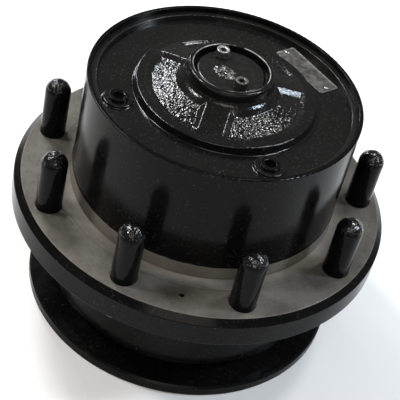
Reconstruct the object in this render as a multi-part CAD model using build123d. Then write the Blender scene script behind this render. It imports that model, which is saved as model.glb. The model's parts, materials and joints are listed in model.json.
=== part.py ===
from build123d import *
import math
import os

os.makedirs("parts", exist_ok=True)

# Driving dimensions, in millimetres. z = 0 is the spindle's mounting face, and Z is the axis of rotation.
RUN = 0.05  # radial clearance of a running fit
SEAT = 0.02  # radial gap of a seated part
GAP = 0.3  # gap between parts that only pass each other
MODULE = 4.0
PRESSURE_ANGLE = math.radians(25)
BACKLASH = 0.06  # taken off each tooth flank
RING_TEETH = 60
SECOND_SUN_TEETH, SECOND_PLANET_TEETH = 18, 21
FIRST_SUN_TEETH, FIRST_PLANET_TEETH = 12, 24
PLANETS = 3

# Wheel side of the hub
FACE_Z = 143.0
FACE_R, FLANGE_R = 187.0, 194.0
FLANGE_BACK_Z, FLANGE_EDGE_Z = 110.0, 136.5
PILOT_R, PILOT_H, RELIEF_R, RELIEF_DEPTH = 137.5, 16.0, 138.0, 0.5
GEAR_SEAT_R, GEAR_SEAT_Z, GEAR_BORE_R, TEETH_Z, TEETH_TOP_Z = 136.0, 138.0, 114.5, 157.0, 249.0
BARREL_R, RIM_Z, RIM_INNER_R = 136.9, 270.0, 132.4
HUB_FOOT_R, HUB_FOOT_Z = 146.0, 23.0
STUDS, STUD_PCD_R, STUD_START = 9, 167.5, 12.76
STUD_R, STUD_TOP_Z, STUD_HEAD_R, STUD_HEAD_H = 11.0, 193.0, 16.5, 10.2
KNURL_R, DOG_R, DOG_Z = 11.4, 9.0, 186.0
CAP_R, CAP_DOME_Z, CAP_BORE_R = 13.5, 195.8, 12.3
SPOT_R, SPOT_DEPTH = 14.0, 0.4  # a shallow spot face round each stud
TAPPED_HOLE_R, TAPPED_HOLE_DEPTH, TAPPED_HOLE_PCD_R = 2.5, 12.0, 165.2
WITNESS_R = 152.2  # a fine turned line on the wheel face

# Cover and its fittings
SEAT_Z, COVER_Z = 251.3, 259.5
COVER_R = RIM_INNER_R - 0.2
GROOVE_R, SNAP_Z, SNAP_T, SNAP_INNER_R, SNAP_GAP_ANGLE = 134.4, 259.6, 4.8, 126.7, 268.0
DISC_R, DISC_Z, CONE_R, CONE_SLOPE = 91.0, 267.5, 81.0, 0.31
POCKET_IN_R, POCKET_OUT_R, POCKET_DEPTH = 50.5, 76.5, 4.0
RIB_W, RIB_START, RIBS = 30.0, 26.6, 3
BOSS_R, BOSS_Z, BOSS_FOOT_R, BOSS_FILLET = 42.1, 292.5, 43.9, 7.0
RECESS_R, RECESS_Z, CAP_PLATE_R, CAP_PLATE_Z = 37.5, 283.0, 35.2, 288.3
PLUG_PCD_R, PLUG_ANGLES, PLUG_BOSS_R, PLUG_BOSS_Z = 109.0, (207.5, 301.0), 15.0, 262.3
PLUG_R, PLUG_COLLAR_R, PLUG_COLLAR_H, WASHER_T = 8.0, 9.6, 2.1, 0.9
PLATE_L, PLATE_W, PLATE_T, PLATE_OFFSET, PLATE_ANGLE = 74.0, 24.0, 1.0, 106.0, 45.5
CAP_SCREW_PCD_R, CAP_SCREW_START, CAP_SCREW_HEAD = 24.7, 120.0, 8.0

# Spindle, bearings and seal
SPINDLE_R, SPINDLE_T = 165.5, 12.5
PAD_R, PAD_Z = 130.0, 21.0
MOUNT_PCD_R, MOUNT_HOLES, MOUNT_HOLE_R, MOUNT_DEPTH = 118.0, 12, 7.0, 17.0
LOCATING_R, LOCATING_DEPTH = 85.0, 5.0
SEAL_R, SEAL_BORE_R = 90.0, 106.0
JOURNAL_R, CUP_R = 75.0, 105.0
LOWER_BEARING_Z, UPPER_BEARING_Z, BEARING_W = 35.0, 86.0, 38.0
ROLLERS, ROLLER_R, ROLLER_L, PITCH_R = 26, 7.0, 24.0, 90.0
PITCH_ANGLE = 14.0
SPINDLE_TOP_Z = 141.0

# Motor, parking brake and input shaft
MOTOR_BORE_R, MOTOR_BORE_Z = 62.0, 66.0
PORT_COVER_Z, ROTOR_Z, FRONT_PLATE_Z = 6.0, 26.0, 52.0
INNER_LOBES, ECCENTRICITY, LOBE_PCD_R, LOBE_R = 6, 4.0, 40.0, 11.0
ROTOR_ROOT_R, ROTOR_OUTER_R = 37.2, 44.0
SHAFT_R, BUSH_R = 14.0, 18.0
BRAKE_BORE_R, PISTON_BORE_R, PISTON_BORE_Z = 48.0, 54.0, 100.0
BRAKE_SPLINE_R, BRAKE_START_Z, DISC_T, DISC_PITCH, DISCS = 24.5, 68.5, 2.4, 2.45, 5
SPRINGS, SPRING_PCD_R = 8, 42.0
CUP_TOP_Z, CUP_SPLINE_Z, CUP_FLOOR_Z = 122.0, 111.0, 88.0
SUN_SHAFT_R, SUN_SHAFT_TOP_Z, SHIFT = 11.0, 246.0, 12.0

# Gear stages
CARRIER_Z, CARRIER_T, CARRIER_R = 141.0, 18.0, 112.0
CARRIER_SCREWS = 6, 62.0, 30.0  # count, pitch radius and start angle
SECOND_Z, SECOND_W = 161.0, 36.0
UPPER_PLATE_Z, UPPER_PLATE_T = 199.0, 9.0
PIN_R, BUSH_T = 13.0, 3.0
FIRST_HUB_Z, FIRST_PLATE_Z, FIRST_PLATE_TOP_Z = 200.0, 211.0, 220.0
FIRST_Z, FIRST_W = 222.0, 20.0
FIRST_TOP_Z, FIRST_TOP_T = 244.0, 5.0


def save(name, *shapes):
    solids = [solid for shape in shapes for solid in shape.solids()]
    export_step(Compound(solids), f"parts/{name}.step")


def disc(radius, low, high):
    return Pos(0, 0, (low + high) / 2) * Cylinder(radius, high - low)


def ring(inner, outer, low, high):
    return disc(outer, low, high) - disc(inner, low, high)


def turned(points):
    """A solid turned about Z from the corners (radius, height) of its half section."""
    face = make_face(Polyline(*[(r, 0, z) for r, z in points], close=True))
    return revolve(face, Axis.Z)


def eased(body, *circles):
    """The body with the circular edges given as (radius, height, rounding) rounded."""
    for radius, height, rounding in circles:
        edges = [edge for edge in body.edges().filter_by(GeomType.CIRCLE)
                 if abs(edge.radius - radius) < 0.01 and abs(edge.arc_center.Z - height) < 0.01]
        body = fillet(edges, rounding)
    return body


def around(count, radius, start=0.0):
    return [Rot(0, 0, start + 360 * i / count) * Pos(radius, 0, 0) for i in range(count)]


def at_each(places, shape):
    return [place * shape for place in places]


def prism(points, low, high):
    face = make_face(Polyline(*points, close=True))
    return Pos(0, 0, low) * extrude(face, high - low)


def polar(radius, angle):
    return radius * math.cos(angle), radius * math.sin(angle)


def involute(angle):
    return math.tan(angle) - angle


def gear_points(teeth, tip_r, root_r, thinning, phase=0.0, steps=3):
    """The outline of an involute gear with one tooth centred on the angle phase, in radians."""
    pitch_r = MODULE * teeth / 2
    base_r = pitch_r * math.cos(PRESSURE_ANGLE)
    half = math.pi / (2 * teeth) - thinning / pitch_r + involute(PRESSURE_ANGLE)
    start_r = max(base_r, root_r)
    radii = [start_r + (tip_r - start_r) * i / steps for i in range(steps + 1)]
    flank = [(r, half - involute(math.acos(base_r / r))) for r in radii]
    if root_r < base_r:
        flank = [(root_r, half)] + flank
    points = []
    for tooth in range(teeth):
        centre = phase + 2 * math.pi * tooth / teeth
        points += [polar(r, centre - a) for r, a in flank]
        points += [polar(r, centre + a) for r, a in reversed(flank)]
    return points


def gear(teeth, low, high, phase=0.0, thinning=BACKLASH):
    pitch_r = MODULE * teeth / 2
    points = gear_points(teeth, pitch_r + MODULE, pitch_r - 1.25 * MODULE, thinning, phase)
    return prism(points, low, high)


def planet_phase(theta, teeth):
    """Where a tooth of a planet at the angle theta points, so that it meets a gap of the ring gear."""
    in_ring = RING_TEETH * theta / (2 * math.pi)
    return theta - (in_ring + 0.5) * 2 * math.pi / teeth


def sun_phase(sun_teeth, planet_teeth):
    """Where a tooth of the sun points when its planet at the angle 0 meets the ring gear."""
    in_planet = planet_teeth * (math.pi - planet_phase(0.0, planet_teeth)) / (2 * math.pi)
    return -(0.5 - in_planet) * 2 * math.pi / sun_teeth


def spline_points(teeth, tip_r, root_r, share, phase=0.0):
    """The outline of a straight-sided spline whose teeth take up the given share of the pitch."""
    half = math.pi * share / teeth
    points = []
    for tooth in range(teeth):
        centre = phase + 2 * math.pi * tooth / teeth
        points += [polar(root_r, centre - half), polar(tip_r, centre - half)]
        points += [polar(tip_r, centre + half), polar(root_r, centre + half)]
    return points


def hexagon_hole(across_flats, low, high):
    return Pos(0, 0, low) * extrude(RegularPolygon(across_flats / math.sqrt(3), 6), high - low)


def socket_screw(thread_r, head_r, head_h, seat_z, tip_z, socket):
    """A cap screw whose head stands on seat_z and whose thread ends at tip_z, below or above it."""
    if tip_z < seat_z:
        head_low, head_high, shank = seat_z, seat_z + head_h, (tip_z, seat_z)
        hole = (seat_z + head_h * 0.45, seat_z + head_h + 1)
    else:
        head_low, head_high, shank = seat_z - head_h, seat_z, (seat_z, tip_z)
        hole = (seat_z - head_h - 1, seat_z - head_h * 0.45)
    body = disc(head_r, head_low, head_high) + disc(thread_r, *shank)
    return body - hexagon_hole(socket, *hole)


# Cones of the tapered bearings: every generator meets on the axis at the apex.
def bearing_cones(low):
    """The apex height and the half angles of the inner race and the cup."""
    middle = low + BEARING_W / 2
    slope = math.radians(PITCH_ANGLE)
    length = PITCH_R / math.sin(slope)
    roller_angle = math.asin(ROLLER_R / length)
    apex = middle - PITCH_R / math.tan(slope)
    return apex, slope, roller_angle, length


def cone_r(apex, angle, z):
    return (z - apex) * math.tan(angle)


def bearing_inner(low):
    apex, slope, roller, length = bearing_cones(low)
    angle = slope - roller
    low_z, high_z = low + 4.5, low + BEARING_W - 4.5
    points = [(JOURNAL_R + SEAT, low + 1), (JOURNAL_R + SEAT, low + BEARING_W)]
    points += [(cone_r(apex, angle, high_z) + 4, low + BEARING_W), (cone_r(apex, angle, high_z) + 4, high_z)]
    points += [(cone_r(apex, angle, high_z), high_z), (cone_r(apex, angle, low_z), low_z)]
    points += [(cone_r(apex, angle, low_z) + 1, low_z), (cone_r(apex, angle, low_z) + 1, low + 1)]
    return turned(points)


def bearing_cup(low):
    apex, slope, roller, length = bearing_cones(low)
    angle = slope + roller
    low_z, high_z = low + 3, low + BEARING_W - 3
    points = [(cone_r(apex, angle, low_z), low_z), (cone_r(apex, angle, high_z), high_z)]
    points += [(CUP_R - SEAT, high_z), (CUP_R - SEAT, low_z)]
    return turned(points)


def bearing_roller(low, slack):
    """One tapered roller, made on Z and then tilted onto the pitch cone, with slack added to its radius."""
    apex, slope, roller, length = bearing_cones(low)
    near, far = length - ROLLER_L / 2, length + ROLLER_L / 2
    small, large = near * math.sin(roller) + slack, far * math.sin(roller) + slack
    body = Pos(0, 0, (near + far) / 2) * Cone(small, large, far - near)
    return Pos(0, 0, apex) * Rot(0, math.degrees(slope), 0) * body


def bearing_rollers(low):
    return at_each(around(ROLLERS, 0), bearing_roller(low, -0.15))


def bearing_cage(low):
    """A pressed cage: a thin cone along the pitch line with a window for each roller."""
    apex, slope, roller, length = bearing_cones(low)
    low_z, high_z = low + 5.5, low + BEARING_W - 5.0
    shell = [(cone_r(apex, slope, z) + side, z) for z, side in
             ((low_z, 0.8), (high_z, 0.8), (high_z, 2.8), (low_z, 2.8))]
    cage = turned(shell)
    windows = at_each(around(ROLLERS, 0), bearing_roller(low, GAP))
    return cage - windows


def hub_housing():
    outer = [(SEAL_BORE_R, HUB_FOOT_Z), (HUB_FOOT_R - 6, HUB_FOOT_Z), (HUB_FOOT_R, HUB_FOOT_Z + 6)]
    outer += [(HUB_FOOT_R + 1, 100), (HUB_FOOT_R + 2, 107), (HUB_FOOT_R + 4.5, FLANGE_BACK_Z)]
    outer += [(FLANGE_R - 3, FLANGE_BACK_Z), (FLANGE_R, FLANGE_BACK_Z + 3), (FLANGE_R, FLANGE_EDGE_Z)]
    outer += [(FACE_R, FACE_Z), (RELIEF_R, FACE_Z), (RELIEF_R, FACE_Z - RELIEF_DEPTH)]
    outer += [(GEAR_SEAT_R + SEAT, FACE_Z - RELIEF_DEPTH), (GEAR_SEAT_R + SEAT, GEAR_SEAT_Z)]
    inner = [(GEAR_BORE_R, GEAR_SEAT_Z), (GEAR_BORE_R, 126)]
    upper_top, lower_top = UPPER_BEARING_Z + BEARING_W, LOWER_BEARING_Z + BEARING_W
    inner += [(CUP_R, 126), (CUP_R, UPPER_BEARING_Z + 3), (97.5, UPPER_BEARING_Z + 3)]
    inner += [(97.5, lower_top - 3), (CUP_R, lower_top - 3), (CUP_R, LOWER_BEARING_Z)]
    inner += [(SEAL_BORE_R, LOWER_BEARING_Z)]
    hub = eased(turned(outer + inner), (FACE_R, FACE_Z, 0.5), (FLANGE_R, FLANGE_EDGE_Z, 1.0))
    hub = eased(hub, (FLANGE_R, FLANGE_BACK_Z + 3, 1.0))
    stud_hole = disc(KNURL_R + SEAT, 100, 150) + disc(SPOT_R, FACE_Z - SPOT_DEPTH, 150)
    hub -= at_each(around(STUDS, STUD_PCD_R, STUD_START), stud_hole)
    hole = disc(TAPPED_HOLE_R, FACE_Z - TAPPED_HOLE_DEPTH, FACE_Z + 1)
    hub -= Rot(0, 0, STUD_START + 360 / STUDS * 6.5) * Pos(TAPPED_HOLE_PCD_R, 0, 0) * hole
    hub -= ring(WITNESS_R, WITNESS_R + 0.6, FACE_Z - 0.3, FACE_Z + 1)
    return hub


def ring_gear():
    """The barrel: it seats in the hub, pilots the wheel, and carries the internal teeth and the cover."""
    outer = [(GEAR_SEAT_R, GEAR_SEAT_Z + 0.02), (GEAR_SEAT_R, FACE_Z), (PILOT_R, FACE_Z)]
    outer += [(PILOT_R, FACE_Z + PILOT_H), (BARREL_R, FACE_Z + PILOT_H + 1), (BARREL_R, RIM_Z)]
    inner = [(RIM_INNER_R, RIM_Z), (RIM_INNER_R, SNAP_Z + SNAP_T + 0.2), (GROOVE_R, SNAP_Z + SNAP_T + 0.2)]
    inner += [(GROOVE_R, SNAP_Z - 0.1), (RIM_INNER_R, SNAP_Z - 0.1), (RIM_INNER_R, SEAT_Z)]
    inner += [(126, SEAT_Z), (126, TEETH_TOP_Z), (116, TEETH_TOP_Z), (116, TEETH_Z), (GEAR_BORE_R, TEETH_Z)]
    inner += [(GEAR_BORE_R, GEAR_SEAT_Z + 0.02)]
    body = eased(turned(outer + inner), (BARREL_R, RIM_Z, 1.3), (RIM_INNER_R, RIM_Z, 0.9))
    root_r, tip_r = MODULE * RING_TEETH / 2 + 1.25 * MODULE, MODULE * RING_TEETH / 2 - MODULE
    spaces = gear_points(RING_TEETH, root_r, tip_r, -BACKLASH, math.pi / RING_TEETH)
    return body - prism(spaces, TEETH_Z, TEETH_TOP_Z + 1)


def wheel_stud():
    """A pressed-in stud: a round head, a knurled length in the flange, the thread and a dog point."""
    head = disc(STUD_HEAD_R, FLANGE_BACK_Z - STUD_HEAD_H, FLANGE_BACK_Z - 0.02)
    head = chamfer(head.edges().sort_by(Axis.Z)[0], 1.2)
    knurl = disc(KNURL_R, FLANGE_BACK_Z - 0.02, FACE_Z - 0.1)
    dog = disc(DOG_R, DOG_Z, STUD_TOP_Z)
    dog = chamfer(dog.edges().sort_by(Axis.Z)[-1], 1)
    return head + knurl + disc(STUD_R, FACE_Z - 0.1, DOG_Z) + dog


def stud_cap():
    """A push-on vinyl cap: a loose sleeve over the stud, whose domed end grips the dog point."""
    outer = disc(CAP_R, FACE_Z - SPOT_DEPTH + 0.05, CAP_DOME_Z) + Pos(0, 0, CAP_DOME_Z) * Sphere(CAP_R)
    return outer - disc(CAP_BORE_R, 140, DOG_Z + 0.1) - disc(DOG_R + SEAT, DOG_Z, STUD_TOP_Z + SEAT)


def cone_z(radius):
    """The height of the raised disc, which climbs from CONE_R towards the boss."""
    return DISC_Z + CONE_SLOPE * max(CONE_R - radius, 0)


def pocket():
    """One recess of the raised disc: a ring sector between two parallel-sided ribs, with a sloping floor."""
    annulus = Circle(POCKET_OUT_R) - Circle(POCKET_IN_R)
    ribs = at_each(around(RIBS, POCKET_OUT_R, 180 / RIBS), Rectangle(2 * POCKET_OUT_R, RIB_W))
    outline = (annulus - ribs).faces().sort_by(Axis.X)[-1].outer_wire()
    column = extrude(Face(outline.fillet_2d(3, outline.vertices())), BOSS_Z)
    floor = [(r, cone_z(r) - POCKET_DEPTH) for r in (POCKET_IN_R - 5, CONE_R)]
    return column & turned(floor + [(CONE_R, BOSS_Z), (POCKET_IN_R - 5, BOSS_Z)])


def cover():
    points = [(8 + RUN, 262), (8 + RUN, RECESS_Z), (RECESS_R, RECESS_Z), (RECESS_R, BOSS_Z)]
    points += [(BOSS_R, BOSS_Z), (BOSS_FOOT_R, cone_z(BOSS_FOOT_R)), (CONE_R, DISC_Z)]
    points += [(DISC_R - 1.6, DISC_Z), (DISC_R, COVER_Z)]
    points += [(COVER_R, COVER_Z), (COVER_R, 257.6), (COVER_R - 2.6, 257.6), (COVER_R - 2.6, 254.2)]
    points += [(COVER_R, 254.2), (COVER_R, SEAT_Z + 0.02), (40, SEAT_Z + 0.02), (36, 262)]
    body = eased(turned(points), (BOSS_FOOT_R, cone_z(BOSS_FOOT_R), BOSS_FILLET), (BOSS_R, BOSS_Z, 1.4))
    body = eased(body, (RECESS_R, BOSS_Z, 0.8), (DISC_R - 1.6, DISC_Z, 1.6), (DISC_R, COVER_Z, 1.2))
    body -= at_each(around(RIBS, 0, RIB_START + 180 / RIBS), pocket())
    for angle in PLUG_ANGLES:
        place = Rot(0, 0, angle) * Pos(PLUG_PCD_R, 0, 0)
        boss = disc(PLUG_BOSS_R, COVER_Z - 1, PLUG_BOSS_Z)
        body += place * chamfer(boss.edges().sort_by(Axis.Z)[-1], 0.6)
        body -= place * disc(PLUG_R + SEAT, 240, PLUG_BOSS_Z + 1)
    for place in around(2, CAP_SCREW_PCD_R, CAP_SCREW_START):
        body -= place * disc(4 + SEAT, RECESS_Z - 14, RECESS_Z + 1)
    for side in (-1, 1):
        hole = Pos(PLATE_OFFSET, side * (PLATE_L / 2 - 5), 0) * disc(1.5 + SEAT, COVER_Z - 5, COVER_Z + 1)
        body -= Rot(0, 0, PLATE_ANGLE) * hole
    return body


def snap_ring():
    """A plain internal retaining ring with a gap that lets it close into its groove."""
    top = SNAP_Z + SNAP_T - 0.1
    body = eased(ring(SNAP_INNER_R, GROOVE_R - 0.1, SNAP_Z, top), (SNAP_INNER_R, top, 0.7))
    return body - Rot(0, 0, SNAP_GAP_ANGLE) * Pos(SNAP_INNER_R, 0, SNAP_Z) * Box(30, 16, 30)


def plug():
    """A socket-head plug with a collar that seats on the boss."""
    seat = PLUG_BOSS_Z + WASHER_T
    collar = disc(PLUG_COLLAR_R, seat, seat + PLUG_COLLAR_H)
    collar = chamfer(collar.edges().sort_by(Axis.Z)[-1], 0.8)
    body = collar + disc(PLUG_R, PLUG_BOSS_Z - 11, seat)
    return body - hexagon_hole(10, PLUG_BOSS_Z - 4, PLUG_BOSS_Z + 6)


def nameplate():
    plate = Box(PLATE_W, PLATE_L, PLATE_T)
    plate = fillet(plate.edges().filter_by(Axis.Z), 2)
    place = Rot(0, 0, PLATE_ANGLE) * Pos(PLATE_OFFSET, 0, COVER_Z + 0.02 + PLATE_T / 2)
    holes = [Pos(0, side * (PLATE_L / 2 - 5), 0) * Cylinder(1.5 + SEAT, 4) for side in (-1, 1)]
    return place * (plate - holes)


def nameplate_pin():
    top = COVER_Z + 0.04 + PLATE_T
    return disc(1.5, top - 5, top) + disc(2.6, top, top + 1.1)


def disconnect_cap():
    """The cap over the disconnect plunger, with a bevelled rim and a rough cast pad."""
    plate = disc(CAP_PLATE_R, RECESS_Z + 0.02, CAP_PLATE_Z)
    plate = chamfer(plate.edges().sort_by(Axis.Z)[-1], 3.2)
    plate += Pos(-5, -5, CAP_PLATE_Z - 0.5) * Rot(0, 0, -36) * extrude(Ellipse(12, 6.5), 1.5)
    return plate - at_each(around(2, CAP_SCREW_PCD_R, CAP_SCREW_START), disc(4.5, RECESS_Z - 1, BOSS_Z))


def cap_screw():
    return socket_screw(4, 6.5, CAP_SCREW_HEAD, CAP_PLATE_Z + 0.02, RECESS_Z - 12, 6)


def disconnect_plunger():
    body = disc(8, SUN_SHAFT_TOP_Z + 0.3, RECESS_Z - 0.3) + disc(12, 255, 258)
    return body - ring(6.6, 9, 272, 274.6)


def coil_spring(radius, wire, low, high, turns):
    path = Helix(pitch=(high - low) / turns, height=high - low, radius=radius)
    start = Plane(origin=path @ 0, z_dir=path % 0)
    return Pos(0, 0, low) * sweep(start * Circle(wire), path=path)


def spindle():
    outer = [(SPINDLE_R - 1.5, 0), (SPINDLE_R, 1.5), (SPINDLE_R, SPINDLE_T - 2), (SPINDLE_R - 2, SPINDLE_T)]
    outer += [(PAD_R + 4, SPINDLE_T), (PAD_R, PAD_Z - 3), (PAD_R - 3, PAD_Z), (SEAL_R, PAD_Z)]
    outer += [(SEAL_R, LOWER_BEARING_Z), (JOURNAL_R, LOWER_BEARING_Z), (JOURNAL_R, 124), (74, 124)]
    outer += [(74, 139.5), (70, 139.5), (70, SPINDLE_TOP_Z)]
    inner = [(PISTON_BORE_R, SPINDLE_TOP_Z), (PISTON_BORE_R, PISTON_BORE_Z), (BRAKE_BORE_R, PISTON_BORE_Z)]
    inner += [(BRAKE_BORE_R, MOTOR_BORE_Z), (MOTOR_BORE_R, MOTOR_BORE_Z), (MOTOR_BORE_R, LOCATING_DEPTH)]
    inner += [(LOCATING_R, LOCATING_DEPTH), (LOCATING_R, 0)]
    body = turned(outer + inner)
    body -= ring(PISTON_BORE_R - 1, PISTON_BORE_R + 2.5, 127.2, 130.3)
    body -= at_each(around(MOUNT_HOLES, MOUNT_PCD_R), disc(MOUNT_HOLE_R, -1, MOUNT_DEPTH))
    body -= at_each(around(*CARRIER_SCREWS), disc(5 + SEAT, 120, 150))
    body -= at_each(around(6, 55, 30), disc(4 + SEAT, 60, 84))
    groove = Pos(BRAKE_BORE_R, 0, (MOTOR_BORE_Z + 96.5) / 2) * Box(7, 10, 96.5 - MOTOR_BORE_Z)
    body -= at_each(around(6, 0), groove)
    return body


def hub_seal():
    """A cassette seal: an outer case with a lip that rubs on the spindle's seal journal."""
    points = [(SEAL_BORE_R - SEAT, 24), (SEAL_BORE_R - SEAT, 34), (103, 34), (103, 26.5), (96, 26.5)]
    points += [(93, 31), (SEAL_R + 1.5, 31), (SEAL_R + RUN, 28.5), (SEAL_R + 2, 24)]
    return turned(points)


def nut_lock_ring():
    body = ring(JOURNAL_R - 1 + SEAT, 90, 124.05, 126)
    notch = Pos(89, 0, 125) * Box(8, 6, 4)
    return body - at_each(around(6, 0), notch)


def bearing_nut():
    body = ring(74 + SEAT, 92, 126.02, 139)
    notch = Pos(92, 0, 132.5) * Box(10, 10, 14)
    return body - at_each(around(6, 0), notch)


def second_places():
    return around(PLANETS, MODULE * (SECOND_SUN_TEETH + SECOND_PLANET_TEETH) / 2)


def first_places():
    return around(PLANETS, MODULE * (FIRST_SUN_TEETH + FIRST_PLANET_TEETH) / 2)


def fixed_carrier():
    """The second-stage carrier: a base, three webs between the planets and an upper plate."""
    body = ring(30, CARRIER_R, CARRIER_Z + 0.02, CARRIER_Z + CARRIER_T)
    body += ring(56, CARRIER_R, UPPER_PLATE_Z, UPPER_PLATE_Z + UPPER_PLATE_T)
    for place in around(PLANETS, 0, 180 / PLANETS):
        web = Pos(85, 0, (CARRIER_Z + UPPER_PLATE_Z) / 2 + 5) * Box(40, 30, UPPER_PLATE_Z - CARRIER_Z)
        body += place * web & ring(40, CARRIER_R, CARRIER_Z + 5, UPPER_PLATE_Z + 5)
    body -= at_each(second_places(), disc(PIN_R + SEAT, 130, 230))
    body -= at_each(around(*CARRIER_SCREWS), disc(5.5, 130, 170))
    body -= at_each(around(*CARRIER_SCREWS), disc(8.5, CARRIER_Z + 7, 170))
    return body


def planet_pin(low, high):
    body = disc(PIN_R, low, high)
    return chamfer(body.edges(), 1)


def planet(teeth, index, bore_r, low, high, centre_r):
    theta = 2 * math.pi * index / PLANETS
    phase = planet_phase(theta, teeth)
    body = gear(teeth, low, high, phase) - disc(bore_r, low - 1, high + 1)
    return Pos(*polar(centre_r, theta)) * body


def planet_bush(index, low, high, centre_r):
    theta = 2 * math.pi * index / PLANETS
    return Pos(*polar(centre_r, theta)) * ring(PIN_R + RUN, PIN_R + RUN + BUSH_T, low + 0.5, high - 0.5)


def first_carrier():
    """The first-stage carrier: a toothed hub on the second sun, a plate, three webs and an upper plate."""
    pitch_r = MODULE * SECOND_SUN_TEETH / 2
    phase = sun_phase(SECOND_SUN_TEETH, SECOND_PLANET_TEETH)
    teeth = gear_points(SECOND_SUN_TEETH, pitch_r + MODULE + 0.2, pitch_r - MODULE * 1.25 + 0.2, -0.04, phase)
    body = disc(52, FIRST_HUB_Z, FIRST_PLATE_Z) - prism(teeth, FIRST_HUB_Z - 1, FIRST_PLATE_Z - 1)
    body += disc(CARRIER_R, FIRST_PLATE_Z - 1, FIRST_PLATE_TOP_Z)
    body += ring(40, CARRIER_R, FIRST_TOP_Z, FIRST_TOP_Z + FIRST_TOP_T)
    for place in around(PLANETS, 0, 180 / PLANETS):
        web = Pos(88, 0, (FIRST_PLATE_TOP_Z + FIRST_TOP_Z) / 2) * Box(40, 14, 28)
        body += place * web & ring(40, CARRIER_R, FIRST_PLATE_TOP_Z - 2, FIRST_TOP_Z + 2)
    body -= disc(30, 205, 260)
    return body - at_each(first_places(), disc(PIN_R + SEAT, 205, 260))


def second_sun():
    phase = sun_phase(SECOND_SUN_TEETH, SECOND_PLANET_TEETH)
    return gear(SECOND_SUN_TEETH, SECOND_Z - 0.5, FIRST_PLATE_Z - 2.5, phase) - disc(15, 150, 230)


def sun_shaft():
    """The input shaft, with the first-stage sun cut on it and a short spline band at its lower end."""
    phase = sun_phase(FIRST_SUN_TEETH, FIRST_PLANET_TEETH)
    body = disc(SUN_SHAFT_R, CUP_SPLINE_Z - 3, FIRST_Z + 1)
    body += gear(FIRST_SUN_TEETH, FIRST_Z, FIRST_Z + FIRST_W, phase)
    body += disc(17, FIRST_Z + FIRST_W - 1, SUN_SHAFT_TOP_Z)
    return body + prism(spline_points(12, 13.4, 10.5, 0.45), CUP_SPLINE_Z + 0.5, CUP_TOP_Z - 0.5)


def motor_shaft():
    """The motor's shaft: a plain journal, the brake's spline and a splined cup for the input shaft."""
    body = disc(SHAFT_R, 9.3, 68) + prism(spline_points(16, 26.5, BRAKE_SPLINE_R, 0.45), 67, 98)
    body += disc(23.5, 90, CUP_TOP_Z)
    body -= disc(14.6, CUP_FLOOR_Z, CUP_SPLINE_Z - 0.3)
    body -= prism(spline_points(12, 13.6, 12.0, 0.50), CUP_SPLINE_Z - 1, CUP_TOP_Z + 1)
    key = Pos(SHAFT_R, 0, (ROTOR_Z + FRONT_PLATE_Z) / 2) * Box(6, 8, 20)
    return body + key


def inner_rotor_curve(offset):
    """Points of the inner rotor: the inward parallel of the path that a lobe's centre takes round it."""
    points, order, count = [], INNER_LOBES + 1, 20 * INNER_LOBES
    for i in range(count):
        t = 2 * math.pi * i / count
        path = [LOBE_PCD_R * f(t) - ECCENTRICITY * f(order * t) for f in (math.cos, math.sin)]
        slope = [LOBE_PCD_R * f(t) - ECCENTRICITY * order * f(order * t) for f in (math.cos, math.sin)]
        size = math.hypot(*slope)
        points.append(tuple(p - offset * s / size for p, s in zip(path, slope)))
    return points


def inner_rotor():
    outline = Spline(*inner_rotor_curve(LOBE_R + 0.1), periodic=True)
    body = Pos(0, 0, ROTOR_Z + RUN) * extrude(make_face(outline), FRONT_PLATE_Z - ROTOR_Z - 2 * RUN)
    keyway = Pos(SHAFT_R, 0, 40) * Box(6 + 2 * SEAT, 8 + 2 * SEAT, 60)
    return body - disc(SHAFT_R + SEAT, 0, 80) - keyway


def outer_rotor():
    low, high = ROTOR_Z + RUN, FRONT_PLATE_Z - RUN
    body = ring(ROTOR_ROOT_R, ROTOR_OUTER_R, low, high)
    body += at_each(around(INNER_LOBES + 1, LOBE_PCD_R), disc(LOBE_R, low, high))
    body = body & disc(ROTOR_OUTER_R, low, high)
    return Pos(-ECCENTRICITY, 0, 0) * body


def through_bolts(radius):
    return at_each(around(6, 55, 30), disc(radius, 0, 90))


def motor_housing():
    body = disc(MOTOR_BORE_R - SEAT, ROTOR_Z + 0.01, FRONT_PLATE_Z - 0.01)
    body -= Pos(-ECCENTRICITY, 0, 0) * disc(ROTOR_OUTER_R + RUN, 0, 90)
    return body - through_bolts(4.2)


def port_cover():
    """The motor's end cover, with the two work ports, a drain port, a brake port and the feed slots."""
    body = disc(MOTOR_BORE_R - SEAT, PORT_COVER_Z, ROTOR_Z)
    body -= disc(BUSH_R + SEAT, 9, 40)
    for side in (-1, 1):
        body -= Pos(0, side * 32, 0) * disc(12.5, 0, 21)
        body -= Pos(side * 38, 0, 0) * disc(6.25, 0, 18)
        slot = ring(26, 35, 20, 30) & (Pos(0, side * 35, 25) * Box(44, 56, 20))
        body -= slot
    return body - through_bolts(4.2) - at_each(around(6, 55, 30), disc(6.6, 0, PORT_COVER_Z + 8.5))


def port_cover_bolt():
    return socket_screw(4, 6.5, 8, PORT_COVER_Z + 8.5, 80, 6)


def front_plate():
    body = disc(MOTOR_BORE_R - SEAT, FRONT_PLATE_Z, MOTOR_BORE_Z - 0.02)
    return body - disc(BUSH_R + SEAT, 0, 90) - through_bolts(4.2)


def shaft_seal():
    return turned([(BUSH_R, 61.5), (BUSH_R, 65.5), (16.5, 65.5), (16.5, 63.5), (SHAFT_R + RUN, 61.5)])


def friction_disc(index):
    low = BRAKE_START_Z + DISC_PITCH * (2 * index)
    teeth = prism(spline_points(16, 26.9, BRAKE_SPLINE_R + 0.4, 0.52), low - 1, low + 5)
    return disc(44, low, low + DISC_T) - teeth


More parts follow.
